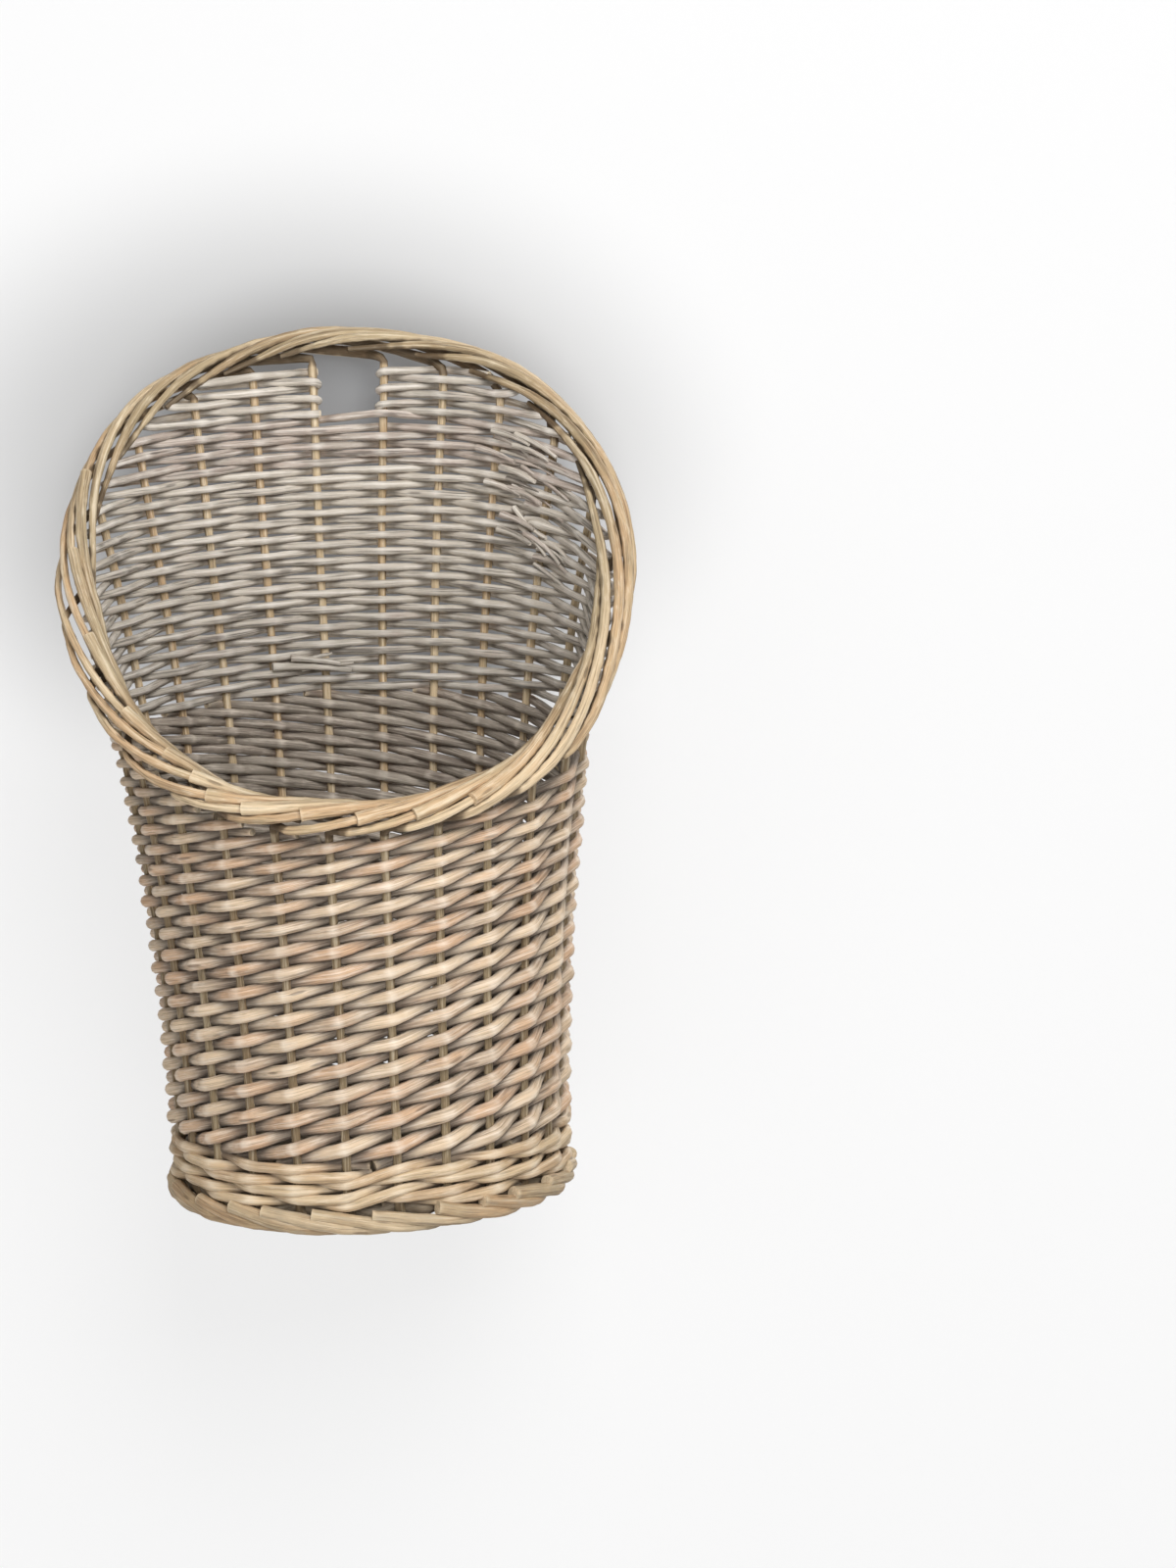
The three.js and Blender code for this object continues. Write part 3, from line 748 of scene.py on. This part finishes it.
def border_lay(index, begin, finish, thick, swing):
    """One rod's run along the border, from the outer side over the top to the inner edge."""
    laid_on = begin > 1
    rows = []
    steps = max(4, round((finish - begin) * 3))
    for step in range(steps + 1):
        u = begin + (finish - begin) * step / steps
        loose = looseness(index + u)
        angle = ROLL_START + (ROLL_END - ROLL_START) * u / BORDER_RUN + swing
        if laid_on:
            angle += LOOSE_TURN * loose * fading(angle, 150)
        spring = loose * fading(angle - ROLL_START, 75)
        roll = BORDER_ROLL + math.sin(u * 2.1 + index * 2.3) + LOOSE_OUT * spring
        if laid_on:
            roll += BUTT_PROUD * fading(u - begin, 0.8)
        else:
            roll -= START_DEPTH * fading(u, 1)
        if finish < BORDER_RUN:
            roll -= DIVE_DEPTH * fading(finish - u, 0.3)
        else:
            roll -= TUCK_DEPTH * fading(BORDER_RUN - u, 0.9)
        lower = SAG * fading(angle - ROLL_START, 180)
        turned = math.radians(angle)
        swell = BUTT_SWELL * fading(u - begin, 2.2) if laid_on else 0
        tip = TIP_TAPER * fading(BORDER_RUN - u, 1.5)
        slim = (1 - 0.25 * spring) * (1 - 0.12 * loose) * (1 - tip)
        radius = BORDER_DIA / 2 * thick * (1.05 + swell - 0.12 * u / BORDER_RUN) * slim
        point = border_point(index + u, roll * math.cos(turned), roll * math.sin(turned) - lower)
        rows.append(row(point, radius, 1, 0))
    return rows


def cut_place(index):
    """Where the end of a rod that is laid on shows, in stake spaces past the stake."""
    if 0 < index < LAID_STAKES[0]:
        return None
    return float(np.interp(index if index else STAKES, LAID_STAKES, LAID_PLACES))


for number in range(STAKES):
    node = f"stake_{number + 1:02d}"
    swing = chance.uniform(-ROLL_SWING, ROLL_SWING)
    cut = cut_place(number)
    upright = upright_route(number)
    if cut is None:
        whole = upright + border_lay(number, LAY_START, BORDER_RUN, 1, swing)
        rods = [bend_rod(node, ROD_STAKE, smooth_route(whole), woven=False)]
    else:
        cut += chance.uniform(-0.12, 0.12)
        under = upright + border_lay(number, LAY_START, cut + LAID_OVERLAP, LAID_UNDER, swing)
        laid = border_lay(number, cut, BORDER_RUN, LAID_THICK, swing)
        rods = [
            bend_rod(node, ROD_STAKE, smooth_route(under), woven=False),
            bend_rod(node + "_laid", ROD_STAKE, smooth_route(laid, 6), woven=False, fresh=LAID_FRESH),
        ]
    finish_piece(joined(rods, f"willow_{node}"), node, STAKE_WILLOW)


# Siding: French randing. A weaver dips where it passes in front and rises where it passes behind.
def siding_height(step):
    return RAND_START + (WEAVER_BUTT + RAND_SLACK) * step - RAND_TAPER * step * step


def siding_dia(step):
    return WEAVER_BUTT + (WEAVER_TIP - WEAVER_BUTT) * step / RAND_CROSSINGS


def siding_route(start):
    def fits(step):
        return siding_height(step) <= weave_top(start + step, siding_dia(step))

    last = 0
    while last < RAND_CROSSINGS and fits(last + 1):
        last += 1
    rows = []
    for step in range(last + 1):
        side = -1 if step % 2 == 0 else 1
        dia = (siding_dia(step) + WEAVER_SWELL) * chance.uniform(0.95, 1.05)
        packed = RAND_PACKED * math.exp(-step / 3)
        z = siding_height(step) - side * RAND_DIP - packed + chance.uniform(-0.4, 0.4)
        outset = side * (siding_dia(step) / 2 + PRESSED + chance.uniform(-0.3, 0.4))
        rows.append(row(wall_point(start + step, z, outset), dia / 2))
    onward = reach_past(lambda reach: fits(last + reach)) if last < RAND_CROSSINGS else 0
    reach = max(onward, TAIL_LEAST) + TAIL_MORE
    side = -1 if last % 2 == 0 else 1
    head = row(wall_point(start - HEAD_BACK, siding_height(-HEAD_BACK) - HEAD_DROP, -3), WEAVER_BUTT / 2)
    tail = row(
        wall_point(start + last + reach, siding_height(last + reach) - 1, side * 6 * (1 - 2 * reach)),
        siding_dia(last) / 2 * 0.9)
    return rounded([head, *rows, tail], 3.5)


for number in range(STAKES):
    node = f"siding_weaver_{number + 1:02d}"
    rod = bend_rod(f"willow_{node}", ROD_SIDING, siding_route(number), woven=True)
    finish_piece(rod, node, SIDING_WILLOW)


# Wale: each piece is a pair of rods, one above the other, that pass in front of two stakes and behind one
def wale_route(which, upper):
    each = STAKES // WALE_RODS
    first = which * each
    pitch = WALE_LIFT / (2 * WALE_RODS)
    low = WALE_START - WALE_DROP + pitch * upper
    rows = [row(wall_point(first - 0.35, low - 1, -4), WALE_DIA / 2 * 0.95)]
    for step in range(STAKES):
        outset, lift = WALE_BEATS[(step + upper) % len(WALE_BEATS)]
        z = low + 2 * pitch * (step // each) + lift + chance.uniform(-0.4, 0.4)
        radius = WALE_DIA / 2 * chance.uniform(0.94, 1.08)
        rows.append(row(wall_point(first + step, z, outset), radius))
    rows.append(row(wall_point(first + STAKES - 0.55, low + 4 * pitch, -5), WALE_DIA / 2 * 0.8))
    return rounded(rows, 8)


for number in range(WALE_RODS):
    node = f"wale_rod_{number + 1}"
    rods = [
        bend_rod(f"{node}_{upper}", ROD_SIDING, wale_route(number, upper), woven=True)
        for upper in range(2)
    ]
    finish_piece(joined(rods, f"willow_{node}"), node, WALE_WILLOW)


# Panel over the high back
PANEL_START = siding_height(RAND_CROSSINGS) + WEAVER_TIP + PANEL_HEIGHT / 2 + PANEL_SLACK


def droop(index, z):
    """How far the weave has been pushed down, low in the panel and at the ends of its rows."""
    high = max(z - PANEL_START, 0) / 180
    packed = PANEL_PACKED * fading(z - PANEL_START, PACKED_ROWS * PANEL_PITCH)
    at_right = 1.3 * max(BACK_RIGHT - 0.4 - index, 0) ** 2.2
    at_left = 0.22 * max(index - BACK_LEFT, 0) ** 1.6
    return packed + high * (at_right + at_left)


def row_end(z, start, way):
    def fits(place):
        return z - droop(place, z) <= weave_top(place, PANEL_HEIGHT) + (END_LEFT if way > 0 else END_RIGHT)

    index = start
    while fits(index + way) and abs(index + way - BACK_LEFT) < STAKES / 2:
        index += way
    return index + way * reach_past(lambda reach: fits(index + way * reach), END_REACH)


def panel_rows(lowest, highest, ends):
    """The height of each row and the places where it ends on the right and on the left."""
    rows = []
    z = lowest
    while z <= highest:
        right, left = ends(z)
        if left - right < 0.5:
            break
        rows.append((z, right, left))
        z += PANEL_PITCH
    return rows


def panel_route(rows, parity, over_hole=False):
    """A weaver that runs to and fro along the rows and turns at their ends."""
    turns = []
    for r, (_, right, left) in enumerate(rows):
        _, next_right, next_left = rows[min(r + 1, len(rows) - 1)]
        turns.append(min(left, next_left) if r % 2 == 0 else max(right, next_right))
    made = []
    reach = (STAKE_DIA + PANEL_DIA) / 2 - PANEL_PRESSED
    for r, (z, right, _) in enumerate(rows):
        way = 1 if r % 2 == 0 else -1
        start = right if r == 0 else turns[r - 1]
        end = turns[r]
        first = math.ceil(start) if way > 0 else math.floor(start)
        last = math.floor(end) if way > 0 else math.ceil(end)

        def put(place, outset, high):
            high -= droop(place, z)
            if over_hole and r == len(rows) - 1 and abs(place - BACK_RIGHT) < 0.2:
                high += HOLE_RAISED
            made.append(row(wall_point(place, high, outset), PANEL_DIA / 2 * chance.uniform(0.92, 1.06)))

        def side_of(index):
            return 1 if (index + r + parity) % 2 == 0 else -1

        def past_stake(distance, index):
            return max(abs(distance), PAST_CLOSE if index in (BACK_LEFT, BACK_RIGHT) else PAST_FREE)

        if r == 0:
            past = past_stake(first - start, first)
            put(first - way * past, side_of(first) * reach * (1 - 2 * past), z)
        for index in range(first, last + way, way):
            put(index, side_of(index) * reach, z + chance.uniform(-0.45, 0.45))
        if r < len(rows) - 1:
            closed = abs(end - BACK_RIGHT) < 0.1 and way > 0 or abs(end - BACK_LEFT) < 0.1 and way < 0
            around = (TURN_CLOSE if closed else TURN_WIDE) / (SPACE * (BASE_RADIUS + flare_at(z)))
            put(end + way * around, side_of(last) * TURN_DEPTH, z + PANEL_PITCH / 3)
            put(end + way * around, -side_of(last) * TURN_DEPTH, z + PANEL_PITCH * 2 / 3)
        else:
            past = past_stake(end - last, last)
            put(last + way * past, side_of(last) * reach * (1 - 2 * past), z)
    return rounded(made, 6)


def splinter(name, begin, finish, thick, curl):
    """A torn strip or broken end. It lies inside, from one place, height and outset to another."""
    steps = 4
    rows = []
    for step in range(steps + 1):
        t = step / steps
        place, z, outset = (a + (b - a) * t for a, b in zip(begin, finish))
        z += curl * math.sin(math.pi * t)
        rows.append(row(wall_point(place, z, outset), thick / 2 * (1 - SPLINTER_TAPER * t)))
    return bend_rod(name, ROD_SHORT, smooth_route(rows, 4), woven=True, fresh=0)


def torn_strips(lowest, highest):
    """The strips that hang from the ends of the rows on the right, down to the border."""
    strips = []
    z = max(lowest, TORN_LOW)
    while z < min(highest, TORN_HIGH):
        place = TORN_PLACE + (z - TORN_LOW) * TORN_SLANT + chance.uniform(-0.25, 0.25)
        far = place - chance.uniform(0.6, 1.1)
        high = z - droop(place, z)
        foot = min(high - chance.uniform(6, 20), border_height(far) - 5)
        strips.append(splinter(
            f"strip_{len(strips)}", (place, high, -6), (far, foot, -chance.uniform(2, 8)),
            chance.uniform(2.2, 4.6), chance.uniform(-3, 4)))
        if chance.random() < FOLD_SHARE:
            near = place + chance.uniform(0.1, 0.5)
            strips.append(splinter(
                f"fold_{len(strips)}", (near, high + 2, -8), (near - 0.7, high - 6, -9),
                chance.uniform(4.2, 5.2), 1))
        z += chance.uniform(3, 6)
    return strips


def ends_over_back(z):
    return row_end(z, BACK_RIGHT, -1), row_end(z, BACK_LEFT, 1)


def ends_left_of_hole(z):
    return BACK_LEFT, row_end(z, BACK_LEFT, 1)


def ends_right_of_hole(z):
    return row_end(z, BACK_RIGHT, -1), BACK_RIGHT


full_rows = panel_rows(PANEL_START, HOLE_BOTTOM, ends_over_back)
rows_each = math.ceil(len(full_rows) / PANEL_WEAVERS)
for number in range(PANEL_WEAVERS):
    node = f"panel_weaver_{number + 1}"
    rows = full_rows[number * rows_each:(number + 1) * rows_each]
    route = panel_route(rows, number * rows_each, over_hole=number == PANEL_WEAVERS - 1)
    rods = [bend_rod(f"willow_{node}", ROD_LONG, route, woven=True)]
    if number == 0:
        rods += [splinter(f"broken_{end}", *BROKEN_ENDS[end]) for end in range(len(BROKEN_ENDS))]
    rods += torn_strips(rows[0][0], rows[-1][0])
    finish_piece(joined(rods, f"willow_{node}"), node, PANEL_WILLOW)

beside_hole = PANEL_START + PANEL_PITCH * len(full_rows)
hole_top = weave_top(BACK_LEFT, PANEL_HEIGHT)
for side, ends in (("left", ends_left_of_hole), ("right", ends_right_of_hole)):
    node = f"panel_weaver_{side}_of_hole"
    rows = panel_rows(beside_hole, hole_top, ends)
    rod = bend_rod(f"willow_{node}", ROD_SIDING, panel_route(rows, len(full_rows)), woven=True)
    finish_piece(rod, node, PANEL_WILLOW)


# Base
def base_point(radius, angle, z):
    return radius * math.cos(angle), radius * math.sin(angle), z


def stick_route(quarter, lane):
    """One of three sticks that lie side by side in the middle and fan out to the edge."""
    reach = CROSS_SPACING / math.tan(SPOKE_SPACE)
    end = BASE_EDGE - GAP
    fan = lane * SPOKE_SPACE
    half = [(reach, lane * CROSS_SPACING), (end * math.cos(fan), end * math.sin(fan))]
    flat = [(-x, y) for x, y in reversed(half)] + half
    turn = quarter * math.pi / 2 + BASE_TURN
    rows = []
    for x, y in flat:
        point = (
            x * math.cos(turn) - y * math.sin(turn),
            x * math.sin(turn) + y * math.cos(turn),
            BASE_MIDDLE,
        )
        rows.append(row(point, BASE_STICK_DIA / 2, 0.5))
    return rounded(rows, 8)


def base_weaver_route(which):
    """A spiral outwards that ends in a round of even radius."""
    rows = []
    last = BASE_EDGE - GAP - BASE_INSET
    steps = int(SPOKES * BASE_ROUNDS)
    for step in range(steps + SPOKES + 1):
        radius = last - BASE_PITCH * (1 - which + 2 * max(steps - step, 0) / SPOKES)
        side = 1 if (step + which) % 2 == 0 else -1
        point = base_point(radius, SPOKE_SPACE * step + BASE_TURN, BASE_MIDDLE + side * BASE_SWING)
        rows.append(row(point, BASE_WEAVER_DIA / 2))
    return rounded(rows, 6)


def base_edge_route():
    """The round that closes the base against the stakes: over each stake, and down between them."""
    rows = []
    for half in range(2 * STAKES + 1):
        radius, z = EDGE_OVER if half % 2 == 0 else EDGE_BETWEEN
        rows.append(row(base_point(radius, FIRST_STAKE + SPACE * half / 2, z), BASE_EDGE_DIA / 2))
    return rounded(rows, 5)


sticks = [
    bend_rod(f"base_stick_{quarter * 3 + lane + 2}", ROD_STAKE, stick_route(quarter, lane), woven=False)
    for quarter in (0, 1) for lane in (-1, 0, 1)
]
finish_piece(joined(sticks, "willow_base_cross"), "base_cross", BASE_WILLOW)

for number in range(2):
    node = f"base_weaver_{number + 1}"
    rods = [bend_rod(f"willow_{node}", ROD_LONG, base_weaver_route(number), woven=True)]
    if number == 1:
        rods.append(bend_rod("base_edge", ROD_SIDING, base_edge_route(), woven=True))
    finish_piece(joined(rods, f"willow_{node}"), node, BASE_WILLOW)

for blank in (ROD_STAKE, ROD_SIDING, ROD_LONG, ROD_SHORT):
    bpy.data.objects.remove(blank)


# Floor, wall and light
# The floor and the wall look pale to the camera without lighting the basket, and keep some of its shadow.
# The wall shows only from the front, so that the back of the basket can be seen and is lit. It has a painted
# shadow behind the basket, a soft grey patch in a paler halo. Sizes are in metres.
FLOOR_SIZE = 40
FLOOR_DROP = 0.6
WALL_SIZE = 14
WALL_GAP = 0.006
STAGE_SHADE = paint(117, 117, 117)
STAGE_PALE = paint(221, 221, 221)
STAGE_UNSEEN = paint(225, 225, 225)
# Painted shadow on the wall behind the basket: a paler halo round a darker core
PAINTED_SHADOWS = (  # centre, size, share of the size that has the full shade, and the shade
    ((-0.035, 0.45), (0.33, 0.23), 0.3, paint(158, 158, 158)),
    ((0.0, 0.4), (0.2, 0.19), 0.55, paint(84, 86, 89)),
)
SKY_SHADE = paint(236, 236, 236)
SKY_LIGHT = 0.27
LAMP_AIM = Vector((0, 0, 0.25))


def stage_finish(name, unseen, painted_shadows=(), one_sided=False):
    finish = Finish(name)
    place = finish.node("ShaderNodeTexCoord").outputs["Object"]
    colour = STAGE_PALE
    # Each patch paints a soft shadow on the wall
    for centre, size, core, shade in painted_shadows:
        scale = (1 / size[0], 1 / size[1], 0)
        spot = finish.stretched(place, scale, (-centre[0] / size[0], -centre[1] / size[1], 0))
        away = finish.node("ShaderNodeVectorMath", {"operation": "LENGTH"}, {0: spot}).outputs["Value"]
        colour = finish.blend(finish.between(away, 1, core), colour, shade)
    finish.use("Base Color", STAGE_SHADE)
    finish.use("Emission Color", colour)
    finish.shader.inputs["Emission Strength"].default_value = 1
    finish.shader.inputs["Roughness"].default_value = 0.9
    rays = finish.node("ShaderNodeLightPath").outputs
    seen = (Value(finish, rays["Is Camera Ray"]) + Value(finish, rays["Is Glossy Ray"])
            + Value(finish, rays["Is Transmission Ray"]))
    if one_sided:
        seen = seen * (1 - Value(finish, finish.node("ShaderNodeNewGeometry").outputs["Backfacing"]))
    other = finish.node(*unseen)
    mixed = finish.node("ShaderNodeMixShader", {}, {
        0: seen, 1: other.outputs["BSDF"], 2: finish.shader.outputs["BSDF"]})
    finish.feed(finish.tree.nodes["Material Output"].inputs["Surface"], mixed.outputs["Shader"])
    return finish.material


bpy.ops.mesh.primitive_plane_add(size=FLOOR_SIZE, location=(0, 0, -FLOOR_DROP))
floor = bpy.context.object
floor.name = "floor"
floor.data.materials.append(stage_finish(
    "pale_floor", ("ShaderNodeBsdfDiffuse", {}, {"Color": STAGE_UNSEEN})))
bpy.ops.mesh.primitive_plane_add(
    size=WALL_SIZE, location=(0, Vector(cad_box[1]).y + WALL_GAP, 0), rotation=(math.pi / 2, 0, 0))
backdrop = bpy.context.object
backdrop.name = "backdrop"
backdrop.data.materials.append(stage_finish(
    "pale_wall", ("ShaderNodeBsdfTransparent",), PAINTED_SHADOWS, one_sided=True))


def lamp(name, place, size, power):
    light = bpy.data.lights.new(name, "AREA")
    light.size = size
    light.energy = power
    holder = bpy.data.objects.new(name, light)
    holder.location = place
    holder.rotation_euler = (LAMP_AIM - Vector(place)).to_track_quat("-Z", "Y").to_euler()
    bpy.context.scene.collection.objects.link(holder)


lamp("key", (0.65, -2.1, 1.8), 1.6, 73)
lamp("fill", (-1.2, -2.3, 0.3), 1.8, 16)
lamp("back", (0.9, 2.4, 1.3), 1.8, 46)
world = bpy.data.worlds.new("studio")
world.use_nodes = True
nodes = world.node_tree.nodes
nodes["Background"].inputs["Color"].default_value = (1, 1, 1, 1)
nodes["Background"].inputs["Strength"].default_value = SKY_LIGHT
seen_sky = nodes.new("ShaderNodeBackground")
seen_sky.inputs["Color"].default_value = SKY_SHADE
seen_sky.inputs["Strength"].default_value = 1
sky = nodes.new("ShaderNodeMixShader")
joins = world.node_tree.links
joins.new(nodes.new("ShaderNodeLightPath").outputs["Is Camera Ray"], sky.inputs[0])
joins.new(nodes["Background"].outputs[0], sky.inputs[1])
joins.new(seen_sky.outputs[0], sky.inputs[2])
joins.new(sky.outputs[0], nodes["World Output"].inputs["Surface"])
bpy.context.scene.world = world

bpy.context.scene.view_settings.view_transform = "Standard"
